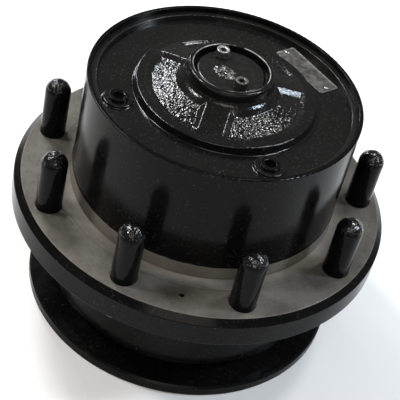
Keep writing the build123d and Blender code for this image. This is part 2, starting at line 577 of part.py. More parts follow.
def steel_plate(index):
    low = BRAKE_START_Z + DISC_PITCH * (2 * index - 1)
    lugs = at_each(around(6, 0), Pos(BRAKE_BORE_R - 1, 0, low + DISC_T / 2) * Box(7, 9.4, DISC_T))
    return disc(BRAKE_BORE_R - 0.5, low, low + DISC_T) + lugs - disc(29, 0, 140)


def brake_piston():
    """The spring-applied piston: a nose that presses the plates and a wider head for the oil pressure."""
    low = BRAKE_START_Z + DISC_PITCH * 2 * DISCS
    points = [(32, low), (46, low), (46, 97), (BRAKE_BORE_R - RUN, 97), (BRAKE_BORE_R - RUN, 101.5)]
    points += [(PISTON_BORE_R - RUN, 101.5), (PISTON_BORE_R - RUN, 113), (32, 113)]
    body = turned(points)
    return body - at_each(around(SPRINGS, SPRING_PCD_R), disc(6, 105, 120))


def spring_retainer():
    body = ring(27, PISTON_BORE_R - 0.1, 119, 127)
    return body - at_each(around(4, 36, 20), disc(3, 110, 130))


def retainer_clip():
    body = ring(50, PISTON_BORE_R + 2.2, 127.3, 130)
    return body - Pos(53, 0, 128) * Box(14, 16, 10)


LEVELS = {"lower": LOWER_BEARING_Z, "upper": UPPER_BEARING_Z}
SECOND_R = MODULE * (SECOND_SUN_TEETH + SECOND_PLANET_TEETH) / 2
FIRST_R = MODULE * (FIRST_SUN_TEETH + FIRST_PLANET_TEETH) / 2

save("hub_housing", hub_housing())
save("ring_gear", ring_gear())
save("wheel_studs", *at_each(around(STUDS, STUD_PCD_R, STUD_START), wheel_stud()))
save("stud_caps", *at_each(around(STUDS, STUD_PCD_R, STUD_START), stud_cap()))
save("cover", cover())
save("cover_o_ring", Pos(0, 0, 255.9) * Torus(COVER_R - 1.2, 1.3))
save("cover_snap_ring", snap_ring())
save("fill_plug", Rot(0, 0, PLUG_ANGLES[0]) * Pos(PLUG_PCD_R, 0, 0) * plug())
save("level_plug", Rot(0, 0, PLUG_ANGLES[1]) * Pos(PLUG_PCD_R, 0, 0) * plug())
washer = ring(PLUG_R + 0.1, PLUG_COLLAR_R - 0.2, PLUG_BOSS_Z + 0.02, PLUG_BOSS_Z + WASHER_T - 0.02)
save("plug_washers", *[Rot(0, 0, angle) * Pos(PLUG_PCD_R, 0, 0) * washer for angle in PLUG_ANGLES])
save("nameplate", nameplate())
pin_places = [Rot(0, 0, PLATE_ANGLE) * Pos(PLATE_OFFSET, side * (PLATE_L / 2 - 5), 0) for side in (-1, 1)]
save("nameplate_pins", *at_each(pin_places, nameplate_pin()))
save("disconnect_cap", disconnect_cap())
save("cap_screws", *at_each(around(2, CAP_SCREW_PCD_R, CAP_SCREW_START), cap_screw()))
save("disconnect_plunger", disconnect_plunger())
save("plunger_o_ring", Pos(0, 0, 273.3) * Torus(7.35, 0.65))
save("hub_seal", hub_seal())
for level, low in LEVELS.items():
    save(f"{level}_bearing_cup", bearing_cup(low))
    save(f"{level}_bearing_cone", bearing_inner(low))
    save(f"{level}_bearing_rollers", *bearing_rollers(low))
    save(f"{level}_bearing_cage", bearing_cage(low))
save("spindle", spindle())
save("nut_lock_ring", nut_lock_ring())
save("bearing_nut", bearing_nut())
save("fixed_carrier", fixed_carrier())
carrier_screw = socket_screw(5, 8, 10, CARRIER_Z + 7.02, 124, 8)
save("carrier_screws", *at_each(around(*CARRIER_SCREWS), carrier_screw))
second_pin = planet_pin(CARRIER_Z + 1, UPPER_PLATE_Z + UPPER_PLATE_T - 1)
save("second_stage_pins", *at_each(second_places(), second_pin))
bush_bore_r = PIN_R + RUN + BUSH_T + SEAT
for index in range(PLANETS):
    second = (SECOND_Z, SECOND_Z + SECOND_W, SECOND_R)
    first = (FIRST_Z, FIRST_Z + FIRST_W, FIRST_R)
    save(f"second_planet_{index + 1}", planet(SECOND_PLANET_TEETH, index, bush_bore_r, *second))
    save(f"second_planet_bush_{index + 1}", planet_bush(index, *second))
    save(f"first_planet_{index + 1}", planet(FIRST_PLANET_TEETH, index, PIN_R + RUN, *first))
save("first_carrier", first_carrier())
save("first_stage_pins", *at_each(first_places(), planet_pin(FIRST_PLATE_Z, FIRST_TOP_Z + FIRST_TOP_T - 0.5)))
save("second_sun", second_sun())
save("sun_shaft", sun_shaft())
save("shift_spring", coil_spring(8.5, 1.1, CUP_FLOOR_Z + 1.5, CUP_SPLINE_Z - 4.5, 4))
save("motor_shaft", motor_shaft())
save("inner_rotor", inner_rotor())
save("outer_rotor", outer_rotor())
save("motor_housing", motor_housing())
save("port_cover", port_cover())
save("port_cover_bolts", *at_each(around(6, 55, 30), port_cover_bolt()))
save("front_plate", front_plate())
save("shaft_bushes", ring(SHAFT_R + RUN, BUSH_R, 10, 25.5), ring(SHAFT_R + RUN, BUSH_R, 52.5, 61))
save("shaft_seal", shaft_seal())
save("friction_discs", *[friction_disc(i) for i in range(DISCS)])
save("steel_plates", *[steel_plate(i) for i in range(DISCS + 1)])
save("brake_piston", brake_piston())
spring = coil_spring(4.2, 0.9, 106.2, 117.8, 4)
save("brake_springs", *at_each(around(SPRINGS, SPRING_PCD_R), spring))
save("spring_retainer", spring_retainer())
save("retainer_clip", retainer_clip())
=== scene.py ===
import bpy, bmesh, json, math
from mathutils import Matrix, Vector, noise


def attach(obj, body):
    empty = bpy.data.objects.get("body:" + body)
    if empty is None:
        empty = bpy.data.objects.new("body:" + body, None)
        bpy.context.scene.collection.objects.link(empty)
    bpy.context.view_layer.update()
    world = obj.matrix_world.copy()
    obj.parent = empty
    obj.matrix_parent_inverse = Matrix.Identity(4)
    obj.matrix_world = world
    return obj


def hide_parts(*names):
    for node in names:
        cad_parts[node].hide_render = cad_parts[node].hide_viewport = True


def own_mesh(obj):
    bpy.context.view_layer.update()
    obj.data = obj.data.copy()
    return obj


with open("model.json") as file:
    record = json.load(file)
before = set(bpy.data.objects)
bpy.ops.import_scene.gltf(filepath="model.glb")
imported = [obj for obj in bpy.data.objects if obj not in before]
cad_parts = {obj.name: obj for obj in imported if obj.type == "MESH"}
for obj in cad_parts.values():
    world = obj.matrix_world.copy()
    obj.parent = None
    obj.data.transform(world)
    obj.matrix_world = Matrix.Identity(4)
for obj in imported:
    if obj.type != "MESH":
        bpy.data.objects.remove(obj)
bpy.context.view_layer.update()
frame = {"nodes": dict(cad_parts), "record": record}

MM = 0.001
TAU = 2 * math.pi

# ---- the object's dimensions, in millimetres and degrees -------------------------------------------------
WHEEL_FACE_Z, WHEEL_FACE_R = 143.0, 187.1
PILOT_R, PILOT_TOP_Z = 137.5, 157.6
CAPS, CAP_CIRCLE_R, CAP_START = 9, 167.5, 12.76
CAP_R, DOME_R, DOME_Z, DOME_SKIN_Z = 13.2, 13.25, 195.8, 200.5
COVER_R, COVER_Z, COVER_UNDER_Z = 132.2, 259.5, 251.32
DISC_R, DISC_Z, CONE_R, CONE_SLOPE = 91.0, 267.5, 81.0, 0.31
BOSS_FOOT_R, RECESS_R, RECESS_Z, LIP_R, LIP_Z = 43.0, 37.5, 283.0, 38.4, 292.0
POCKET_IN, POCKET_OUT, POCKET_DEPTH, POCKET_SLOPE, POCKET_CORNER = 47.0, 79.5, 4.0, 5.6, 5.0
RIBS, RIB_HALF, RIB_START = 3, 12.0, 26.6
PLUG_CIRCLE_R, FILL_PLUG, LEVEL_PLUG = 109.0, 207.5, 301.0
CAP_PLATE_R, CAP_PLATE_Z = 35.2, 288.3
SCREW_CIRCLE_R, SCREW_ANGLES, SCREW_TOP_Z = 24.7, (120, 300), 296.25
PLATE_CENTRE_R, PLATE_TURN = 106.0, math.radians(45.5)
PLATE_LENGTH, PLATE_WIDTH, PIN_OFFSET = 74.0, 24.0, 32.0


# ---- material graphs -------------------------------------------------------------------------------------
class Graph:
    """A small builder for one material's nodes. Every texture reads object coordinates, in metres."""

    def __init__(self, name):
        self.material = bpy.data.materials.new(name)
        self.material.use_nodes = True
        self.tree = self.material.node_tree
        self.shader = self.tree.nodes["Principled BSDF"]
        self.place = self.add("ShaderNodeTexCoord").outputs["Object"]
        split = self.add("ShaderNodeSeparateXYZ", self.place)
        self.x, self.y, self.z = split.outputs
        flat = self.add("ShaderNodeCombineXYZ", self.x, self.y)
        self.radius = self.add("ShaderNodeVectorMath", flat.outputs[0], operation="LENGTH").outputs["Value"]
        self.angle = self.math("ARCTAN2", self.y, self.x)

    def add(self, kind, *values, **settings):
        node = self.tree.nodes.new(kind)
        for key, value in settings.items():
            setattr(node, key, value)
        for socket, value in zip(node.inputs, values):
            self.feed(socket, value)
        return node

    def feed(self, socket, value):
        if isinstance(value, bpy.types.NodeSocket):
            self.tree.links.new(value, socket)
        elif value is not None:
            socket.default_value = value

    def math(self, operation, a, b=0.0):
        return self.add("ShaderNodeMath", a, b, operation=operation).outputs[0]

    def times(self, *values):
        """The product of two or more values."""
        result = values[0]
        for value in values[1:]:
            result = self.math("MULTIPLY", result, value)
        return result

    def ramp(self, value, low, high, out_low=0.0, out_high=1.0, smooth=False):
        """value from low..high mapped to out_low..out_high, clamped at both ends."""
        kind = "SMOOTHSTEP" if smooth else "LINEAR"
        node = self.add("ShaderNodeMapRange", value, low, high, out_low, out_high, interpolation_type=kind)
        return node.outputs[0]

    def band(self, value, low, high, soft):
        """1 between low and high, with edges soft wide."""
        rise = self.ramp(value, low - soft, low + soft)
        fall = self.ramp(value, high - soft, high + soft, 1.0, 0.0)
        return self.times(rise, fall)

    def noise(self, size, detail=2.0, rough=0.5, at=None, distort=0.0):
        """Noise whose cells are about size millimetres wide."""
        node = self.add("ShaderNodeTexNoise")
        self.feed(node.inputs["Vector"], self.place if at is None else at)
        node.inputs["Scale"].default_value = 1000.0 / size
        node.inputs["Detail"].default_value = detail
        node.inputs["Roughness"].default_value = rough
        node.inputs["Distortion"].default_value = distort
        return node.outputs["Fac"]

    def cells(self, size):
        """Distance to the middle of the nearest of many cells, each about size millimetres wide."""
        node = self.add("ShaderNodeTexVoronoi")
        self.feed(node.inputs["Vector"], self.place)
        node.inputs["Scale"].default_value = 1000.0 / size
        return node.outputs["Distance"]

    def turned(self, around):
        """Coordinates that follow a lathe's marks: radius, angle and height."""
        around_axis = self.times(self.angle, around)
        return self.add("ShaderNodeCombineXYZ", self.radius, around_axis, self.z).outputs[0]

    def mix(self, share, a, b, kind="RGBA"):
        """a where share is 0 and b where it is 1: colours, or kind FLOAT numbers or VECTOR vectors."""
        node = self.add("ShaderNodeMix", data_type=kind)
        self.feed(node.inputs["Factor"], share)
        self.feed(node.inputs["A"], a)
        self.feed(node.inputs["B"], b)
        return node.outputs["Result"]

    def bump(self, height, distance_mm, before=None):
        """A normal for a relief of up to distance_mm, on top of an earlier one."""
        node = self.add("ShaderNodeBump")
        node.inputs["Strength"].default_value = 1.0
        node.inputs["Distance"].default_value = distance_mm * MM
        self.feed(node.inputs["Height"], height)
        self.feed(node.inputs["Normal"], before)
        return node.outputs["Normal"]

    def finish(self, color, roughness, normal=None, metallic=0.0, specular=None):
        """Feeds the shader and hands over the material. specular is a plain number."""
        self.feed(self.shader.inputs["Base Color"], color)
        self.feed(self.shader.inputs["Roughness"], roughness)
        self.feed(self.shader.inputs["Metallic"], metallic)
        self.feed(self.shader.inputs["Normal"], normal)
        if specular is not None:
            self.shader.inputs["Specular IOR Level"].default_value = specular
        return self.material


def grey(value, warm=0.0):
    """A grey colour, browner as warm rises."""
    return (value * (1 + warm), value, value * (1 - warm), 1)


def specks(g, size, share):
    """Scattered dust specks: small dots in a few of the cells of a cell pattern."""
    dots = g.ramp(g.cells(size), 0.12, 0.3, 1.0, 0.0)
    chosen = g.ramp(g.noise(size * 2.6, 1.0), 1 - share - 0.02, 1 - share + 0.02)
    return g.times(dots, chosen)


def enamel(g, peel=1.0, film=1.0, rough=0.13):
    """Black gloss paint over a casting: orange peel, a thin uneven film of dust, and a few specks."""
    haze = g.ramp(g.noise(34, 4.0, 0.6), 0.42, 0.75)
    fine = g.ramp(g.noise(1.6, 3.0, 0.7), 0.5, 0.8)
    film_share = g.times(haze, fine, 0.022 * film)
    black = g.mix(g.noise(60, 2.0), (0.0025, 0.0025, 0.003, 1), (0.005, 0.0047, 0.0044, 1))
    color = g.mix(film_share, black, grey(0.45, 0.06))
    color = g.mix(g.times(specks(g, 1.3, 0.38), 0.17), color, grey(0.5, 0.1))
    roughness = g.ramp(g.noise(22, 3.0), 0.3, 0.7, rough * 0.75, rough * 1.5)
    roughness = g.mix(haze, roughness, rough * 1.9, "FLOAT")
    normal = g.bump(g.noise(3.6, 2.0, 0.45), 0.02 * peel)
    normal = g.bump(g.noise(16, 2.0, 0.4), 0.05 * peel, normal)
    return color, roughness, normal


def paint(name, **how):
    """Plain black enamel; how is what enamel takes."""
    g = Graph(name)
    color, roughness, normal = enamel(g, **how)
    return g.finish(color, roughness, normal, specular=0.08)


def cover_paint():
    """Gloss paint on the cover's plain faces, slightly pebbled where it lies over the raised disc, with a
    broken lighter grey band round the recess lip that is partly worn paint and partly a painted highlight.
    """
    g = Graph("cover_paint")
    color, roughness, normal = enamel(g)
    disc = g.times(g.band(g.radius, BOSS_FOOT_R * MM, DISC_R * MM, 1.0 * MM),
                   g.ramp(g.z, (DISC_Z - 2.5) * MM, (DISC_Z - 0.5) * MM))
    normal = g.bump(g.times(g.noise(2.0, 2.0, 0.55), disc), 0.27, normal)
    # The lip band is partly worn paint and partly a painted highlight along the lip's edge: a lighter grey,
    # broken up by noise.
    lip = g.times(g.band(g.radius, (LIP_R - 1) * MM, LIP_R * MM, 0.15 * MM),
                  g.ramp(g.z, (LIP_Z - 0.4) * MM, LIP_Z * MM))
    worn = g.times(lip, g.ramp(g.noise(14, 4.0, 0.6), 0.4, 0.55, 0.0, 0.6))
    return g.finish(g.mix(worn, color, grey(0.5, 0.03)), roughness, normal, specular=0.4)


def pocket_skin():
    """Wet-looking paint pooled over coarse cast skin, on the floors of the pockets."""
    g = Graph("cover_pocket_paint")
    color, roughness, normal = enamel(g, rough=0.06)
    pebbles = g.math("ADD", g.noise(1.5, 0.0), g.times(g.noise(5.0, 2.0, 0.5), 1.3))
    normal = g.bump(pebbles, 0.46, normal)
    return g.finish(color, roughness, normal, specular=0.6)


def hub_finish():
    """The hub: black paint, except on the turned wheel face and the pilot band at the barrel's foot."""
    g = Graph("hub_paint_and_machined")
    color, roughness, normal = enamel(g)
    wave = g.times(g.math("SUBTRACT", g.noise(9, 3.0), 0.5), 2.4 * MM)
    height = g.math("ADD", g.z, wave)
    on_face = g.times(g.band(g.radius, (PILOT_R - 1.1) * MM, (WHEEL_FACE_R + 0.5) * MM, 0.15 * MM),
                      g.band(g.z, (WHEEL_FACE_Z - 1) * MM, (WHEEL_FACE_Z + 0.4) * MM, 0.1 * MM))
    on_pilot = g.times(g.band(g.radius, (PILOT_R - 0.6) * MM, (PILOT_R + 1) * MM, 0.15 * MM),
                       g.band(height, (WHEEL_FACE_Z - 3) * MM, PILOT_TOP_Z * MM, 0.35 * MM))
    bare = g.math("MAXIMUM", on_face, on_pilot)

    lines = g.noise(1.0, 3.0, 0.6, at=g.turned(0.012))
    coarse = g.noise(7.0, 2.0, 0.5, at=g.turned(0.006))
    stain = g.noise(38, 5.0, 0.62)
    mottled = g.noise(6.0, 4.0, 0.65)
    rust = g.times(g.ramp(g.noise(13, 5.0, 0.7), 0.6, 0.72), 0.4)
    scratches = g.ramp(g.noise(2.2, 2.0, 0.5, at=g.turned(0.035), distort=1.5), 0.70, 0.76)
    root = g.ramp(g.radius, PILOT_R * MM, 149 * MM, 0.5, 0.0, smooth=True)
    steel = g.mix(g.ramp(stain, 0.35, 0.68), (0.09, 0.082, 0.072, 1), (0.17, 0.158, 0.141, 1))
    steel = g.mix(g.ramp(mottled, 0.52, 0.8, 0.0, 0.45), steel, (0.045, 0.04, 0.034, 1))
    steel = g.mix(g.ramp(lines, 0.35, 0.7, 0.0, 0.3), steel, (0.2, 0.187, 0.165, 1))
    steel = g.mix(rust, steel, (0.085, 0.055, 0.034, 1))
    steel = g.mix(g.times(scratches, 0.8), steel, (0.03, 0.028, 0.025, 1))
    steel = g.mix(root, steel, (0.26, 0.235, 0.2, 1))
    steel_rough = g.ramp(g.noise(12, 4.0), 0.3, 0.7, 0.34, 0.56)
    steel_normal = g.bump(g.math("ADD", lines, g.times(coarse, 0.6)), 0.05)
    return g.finish(g.mix(bare, color, steel), g.mix(bare, roughness, steel_rough, "FLOAT"),
                    g.mix(bare, normal, steel_normal, "VECTOR"), metallic=g.times(bare, 0.32), specular=0.08)


def vinyl(name, wrinkle, specular):
    """Dip-moulded vinyl: glossy black, smooth on the sides and wrinkled on the domes."""
    g = Graph(name)
    normal = g.bump(g.noise(2.6, 1.0, 0.5), wrinkle)
    normal = g.bump(g.noise(9, 2.0), 0.12, normal)
    dust = g.times(g.ramp(g.noise(4, 4.0, 0.7), 0.55, 0.85), 0.02)
    color = g.mix(dust, (0.0028, 0.0028, 0.0032, 1), grey(0.3, 0.06))
    return g.finish(color, g.ramp(g.noise(8, 3.0), 0.3, 0.7, 0.07, 0.15), normal, specular=specular)


def metal(name, dark, light, rough):
    """Machined or plated metal with fine turning marks, a blotchy tone and a little staining."""
    g = Graph(name)
    lines = g.noise(1.2, 3.0, 0.6, at=g.turned(0.01))
    tone = g.noise(18, 4.0, 0.6)
    color = g.mix(g.ramp(tone, 0.3, 0.7), (*dark, 1), (*light, 1))
    color = g.mix(g.ramp(lines, 0.4, 0.7, 0.0, 0.3), color, tuple(min(c * 1.35, 0.9) for c in light) + (1,))
    color = g.mix(g.ramp(g.noise(7, 5.0, 0.7), 0.6, 0.8, 0.0, 0.5), color, (0.12, 0.1, 0.08, 1))
    roughness = g.ramp(g.noise(10, 4.0), 0.3, 0.7, rough * 0.8, rough * 1.3)
    return g.finish(color, roughness, g.bump(lines, 0.03), metallic=1.0)


def casting(name):
    """Bare grey iron: sandy skin with pits and a slight brown cast."""
    g = Graph(name)
    color = g.mix(g.ramp(g.noise(14, 5.0, 0.65), 0.3, 0.7), grey(0.14, 0.06), grey(0.26, 0.04))
    color = g.mix(g.ramp(g.noise(5, 5.0, 0.7), 0.6, 0.75, 0.0, 0.5), color, (0.16, 0.09, 0.05, 1))
    roughness = g.ramp(g.noise(6, 4.0), 0.3, 0.7, 0.48, 0.72)
    normal = g.bump(g.noise(1.4, 4.0, 0.6), 0.12)
    return g.finish(color, roughness, normal, metallic=0.7)


def rubber(name):
    """Black sealing rubber with a dusty bloom."""
    g = Graph(name)
    color = g.mix(g.ramp(g.noise(5, 5.0, 0.7), 0.4, 0.8), grey(0.012), grey(0.036, 0.08))
    normal = g.bump(g.noise(0.9, 2.0), 0.03)
    return g.finish(color, g.ramp(g.noise(4, 3.0), 0.3, 0.7, 0.4, 0.6), normal, specular=0.4)


def plate_metal():
    """The nameplate: dull aluminium, dusty and scuffed, with grain along its length."""
    g = Graph("nameplate_aluminium")
    cosine, sine = math.cos(PLATE_TURN), math.sin(PLATE_TURN)
    along = g.math("ADD", g.times(g.x, -sine), g.times(g.y, cosine))
    across = g.math("ADD", g.times(g.x, cosine), g.times(g.y, sine))
    grain_at = g.add("ShaderNodeCombineXYZ", g.times(along, 0.06), across).outputs[0]
    grain = g.noise(0.8, 3.0, 0.6, at=grain_at)
    scuff = g.ramp(g.noise(9, 5.0, 0.7), 0.42, 0.66)
    dark_dust = g.ramp(g.noise(2.4, 4.0, 0.7), 0.5, 0.72)
    color = g.mix(scuff, (0.07, 0.068, 0.062, 1), (0.2, 0.195, 0.185, 1))
    color = g.mix(g.times(dark_dust, 0.55), color, (0.05, 0.05, 0.048, 1))
    return g.finish(color, g.ramp(grain, 0.3, 0.7, 0.32, 0.5), g.bump(grain, 0.03), metallic=0.6)


def oxide(name, tone, rough, worn=0.0, worn_above=None, wear=(0.3, 0.55)):
    """Black oxide or painted steel fittings, rubbed bright on top where a height in millimetres is given."""
    g = Graph(name)
    color = g.mix(g.ramp(g.noise(6, 4.0, 0.6), 0.3, 0.7), grey(tone * 0.6), grey(tone * 1.5, 0.04))
    normal = g.bump(g.noise(1.2, 3.0), 0.04)
    metallic = 0.3
    if worn_above is not None:
        rub = g.times(g.ramp(g.z, (worn_above - 0.5) * MM, worn_above * MM),
                      g.ramp(g.noise(2.4, 4.0, 0.6), *wear), worn)
        color = g.mix(rub, color, (0.62, 0.6, 0.57, 1))
        metallic = g.mix(rub, 0.3, 0.9, "FLOAT")
    roughness = g.ramp(g.noise(5, 3.0), 0.3, 0.7, rough * 0.8, rough * 1.3)
    return g.finish(color, roughness, normal, metallic=metallic)


# ---- mesh helpers ----------------------------------------------------------------------------------------
def piece(name, shell, material, body, node, sharp=40):
    """A mesh piece with outward faces and smooth shading, in place of a CAD node, riding on a body."""
    mesh = bpy.data.meshes.new(name)
    mesh.from_pydata(shell.vertices, [], shell.faces)
    bm = bmesh.new()
    bm.from_mesh(mesh)
    bmesh.ops.recalc_face_normals(bm, faces=bm.faces)
    bm.to_mesh(mesh)
    bm.free()
    mesh.shade_smooth()
    mesh.set_sharp_from_angle(angle=math.radians(sharp))
    mesh.materials.append(material)
    obj = bpy.data.objects.new(name, mesh)
    bpy.context.scene.collection.objects.link(obj)
    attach(obj, body)
    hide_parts(node)
    return obj


class Shell:
    """Collects vertices and faces of one or more closed shells."""

    def __init__(self):
        self.vertices, self.faces = [], []

    def rings(self, rows, segments, closed_rows=False):
        """Joins rows of equal length around an axis. A row may be a single point, at a pole."""
        index = []
        for row in rows:
            index.append(range(len(self.vertices), len(self.vertices) + len(row)))
            self.vertices += row
        pairs = list(zip(index, index[1:]))
        if closed_rows:
            pairs.append((index[-1], index[0]))
        for low, high in pairs:
            for i in range(segments):
                j = (i + 1) % segments
                if len(low) == 1:
                    self.faces.append((low[0], high[i], high[j]))
                elif len(high) == 1:
                    self.faces.append((low[i], low[j], high[0]))
                else:
                    self.faces.append((low[i], low[j], high[j], high[i]))


def arc(cx, cz, r, start, end, steps):
    """Points of a profile's arc, in degrees from the outward direction towards up."""
    angles = [math.radians(start + (end - start) * i / steps) for i in range(steps + 1)]
    return [(cx + r * math.cos(a), cz + r * math.sin(a)) for a in angles]


def smooth(t):
    """An even S-curve from 0 to 1, level outside them."""
    t = min(max(t, 0.0), 1.0)
    return t * t * (3 - 2 * t)


def lathe_row(r, z, segments, centre=(0, 0), shift=None):
    """A circle of points in metres, each moved out and up by what shift says. A radius of 0 is one point."""
    if r == 0:
        return [(centre[0] * MM, centre[1] * MM, z * MM)]
    row = []
    for i in range(segments):
        a = TAU * i / segments
        dr, dz = shift(r, a, z) if shift else (0, 0)
        row.append(((centre[0] + (r + dr) * math.cos(a)) * MM, (centre[1] + (r + dr) * math.sin(a)) * MM,
                    (z + dz) * MM))
    return row


def polar(radius, degrees):
    return radius * math.cos(math.radians(degrees)), radius * math.sin(math.radians(degrees))


# ---- cover -----------------------------------------------------------------------------------------------
def cone_z(r):
    """The raised disc climbs towards the boss."""
    return DISC_Z + CONE_SLOPE * max(CONE_R - r, 0)


def knee(t, soft=0.13):
    """max(t, 0), with its corner rounded."""
    return t if t > soft else (t + soft) ** 2 / (4 * soft) if t > -soft else 0.0


def pocket_depth(r, a):
    """How far the raised disc is sunk at a point, and how much of that point is pocket floor."""
    if not POCKET_IN - 1 < r < POCKET_OUT + 1:
        return 0.0, 0.0
    step = TAU / RIBS
    turn = (a - math.radians(RIB_START)) % step
    side = min(r * math.sin(min(turn, math.pi / 2)), r * math.sin(min(step - turn, math.pi / 2))) - RIB_HALF
    radial = POCKET_OUT - r
    if radial < POCKET_CORNER and side < POCKET_CORNER:
        inside = POCKET_CORNER - math.hypot(POCKET_CORNER - radial, POCKET_CORNER - side)
    else:
        inside = min(radial, side)
    inside = min(inside, (r - POCKET_IN) * 1.25)
    t = inside / POCKET_SLOPE
    return POCKET_DEPTH * (knee(t) - knee(t - 1)), smooth((inside - 4.6) / 2.0)


def cover_shift(r, a, z):
    """Sinks the pockets into the raised disc and gives it a cast skin. The rest of the cover stays put."""
    if not (COVER_Z + 2.5 <= z <= RECESS_Z + 1 and BOSS_FOOT_R + 0.2 <= r <= DISC_R - 0.5):
        return 0.0, 0.0
    depth, floor = pocket_depth(r, a)
    p = Vector((r * math.cos(a), r * math.sin(a), 7.0))
    rough = 0.26 * noise.noise(p / 3.4) + 0.30 * noise.noise(p / 8.0)
    skin = 0.06 * noise.noise(p / 4.0)
    return 0.0, -depth + rough * floor + skin * smooth((z - (DISC_Z - 1.5)) / 1.5)


def cover_profile():
    """The cover's section, from under its middle, up through the recess, and out over boss, disc and rim."""
    under = [(40, COVER_UNDER_Z), (36, 262), (8.2, 262), (8.2, RECESS_Z), (RECESS_R, RECESS_Z)]
    lip = [(RECESS_R, 291.7)] + arc(38.3, 291.7, 0.8, 180, 90, 3) + arc(40.7, 291.1, 1.4, 90, 5, 4)
    wall = [(42.35, 290), (42.7, 288), (BOSS_FOOT_R, 285.8)]
    flare = arc(50.25, 284.36, 7.0, 187.6, 252.8, 12)
    disc = [(r, cone_z(r)) for r in [48.8 + 0.55 * i for i in range(58)]]
    disc += [(CONE_R + 0.4 + 1.1 * i, DISC_Z) for i in range(6)]
    edge = arc(88.0, 265.9, 1.6, 90, 10, 5) + [(90.3, 263)] + arc(92.1, 260.7, 1.2, 190, 270, 4)
    flat = [(r, COVER_Z) for r in (96, 101, 106, 111, 116, 121, 126, 131.6)]
    rim = [(COVER_R, 258.9), (COVER_R, 257.6), (129.6, 257.6), (129.6, 254.2), (COVER_R, 254.2),
           (COVER_R, COVER_UNDER_Z)]
    return under + lip + wall + flare + disc + edge + flat + rim


def build_cover(materials):
    """The cover casting with a boss under each plug: plain paint, and pooled paint on the pocket floors."""
    shell, segments = Shell(), 720
    rows = [lathe_row(r, z, segments, shift=cover_shift) for r, z in cover_profile()]
    shell.rings(rows, segments, closed_rows=True)
    for angle in (FILL_PLUG, LEVEL_PLUG):
        at = polar(PLUG_CIRCLE_R, angle)
        ridge = [(8.0, 256), (8.0, 262.0)] + arc(8.3, 262.0, 0.3, 180, 90, 2) + [(11, 262.3)]
        ridge += arc(14.2, 261.5, 0.8, 90, 5, 4) + arc(16.2, 260.7, 1.2, 185, 265, 4) + [(16.2, 256)]
        shell.rings([lathe_row(r, z, 72, at) for r, z in ridge], 72, closed_rows=True)
    obj = piece("cover_casting", shell, materials[0], "hub", "cover")
    obj.data.materials.append(materials[1])
    for face in obj.data.polygons:
        x, y, z = face.center / MM
        if z > COVER_Z + 2.5 and pocket_depth(math.hypot(x, y), math.atan2(y, x))[1] > 0.12:
            face.material_index = 1
    return obj


# ---- stud caps -------------------------------------------------------------------------------------------
def build_caps(materials):
    """Push-on caps, hollow and open below, with lumpy domes of their own material."""
    shell, segments = Shell(), 56
    for k in range(CAPS):
        at = polar(CAP_CIRCLE_R, CAP_START + 360 / CAPS * k)
        seed = 11.0 * k + 3

        def wobble(r, a, z):
            """A slow swell all over, and lumps on the dome."""
            p = Vector((at[0] + r * math.cos(a), at[1] + r * math.sin(a), z))
            dome = smooth((z - 192) / 8)
            swell = 0.10 * noise.noise(p / 17 + Vector((seed, 0, 0)))
            lumps = 0.20 * dome * noise.noise(p / 3.2) + 0.12 * dome * noise.noise(p / 1.6)
            return swell + lumps, lumps

        outer = [(12.9, 142.7), (13.35, 143.1), (13.45, 144.4), (CAP_R, 146.2), (13.15, 150)]
        outer += [(CAP_R, z) for z in range(156, 196, 6)]
        dome = arc(0, DOME_Z, DOME_R, 2, 86, 16)
        inner = [(9.05, 192.0), (9.05, 186.1), (12.3, 186.1), (12.3, 142.7)]
        rows = [lathe_row(r, z, segments, at, wobble) for r, z in outer + dome]
        rows.append(lathe_row(0, DOME_Z + DOME_R, segments, at))
        shell.rings(rows, segments)
        inner_rows = [lathe_row(0, 193.4, segments, at), lathe_row(9.05, 193.4, segments, at)]
        inner_rows += [lathe_row(r, z, segments, at) for r, z in inner]
        start = len(shell.vertices)
        shell.rings(inner_rows, segments)
        base = start - (len(outer + dome) * segments + 1)
        last = len(shell.vertices) - segments
        for i in range(segments):
            j = (i + 1) % segments
            shell.faces.append((base + i, base + j, last + j, last + i))
    obj = piece("stud_caps_vinyl", shell, materials[0], "hub", "stud_caps")
    obj.data.materials.append(materials[1])
    for face in obj.data.polygons:
        if face.center.z > DOME_SKIN_Z * MM:
            face.material_index = 1
    return obj


# ---- fittings on the cover -------------------------------------------------------------------------------
def hexagon_row(across_flats, z, segments, centre, turn=0.0):
    """A hexagon with as many points as a lathe row, so that the two can be joined."""
    row = []
    for i in range(segments):
        a = TAU * i / segments
        off = (a - turn) % (TAU / 6) - TAU / 12
        r = across_flats / 2 / math.cos(off)
        row.append(((centre[0] + r * math.cos(a)) * MM, (centre[1] + r * math.sin(a)) * MM, z * MM))
    return row


def build_plug(name, node, angle, turn, material):
    """A hex-socket plug: bevelled collar, a shallow ring groove and a six-sided hole."""
    shell, segments, at = Shell(), 96, polar(PLUG_CIRCLE_R, angle)
    rows = [lathe_row(0, 251.6, segments, at), lathe_row(7.2, 251.6, segments, at)]
    outer = [(8.0, 252.4), (8.0, 263.2), (9.35, 263.2), (9.6, 263.5), (9.6, 264.5)]
    outer += arc(8.8, 264.5, 0.8, 0, 90, 4) + [(8.2, 265.3), (7.9, 264.9), (7.4, 264.9), (7.1, 265.2)]
    rows += [lathe_row(r, z, segments, at) for r, z in outer]
    rows += [lathe_row(6.7, 265.2, segments, at), hexagon_row(11.0, 264.7, segments, at, turn)]
    rows += [hexagon_row(10.2, z, segments, at, turn) for z in (264.0, 258.6)]
    rows += [lathe_row(4.2, 258.4, segments, at), lathe_row(0, 257.4, segments, at)]
    shell.rings(rows, segments)
    return piece(name, shell, material, "hub", node, sharp=30)


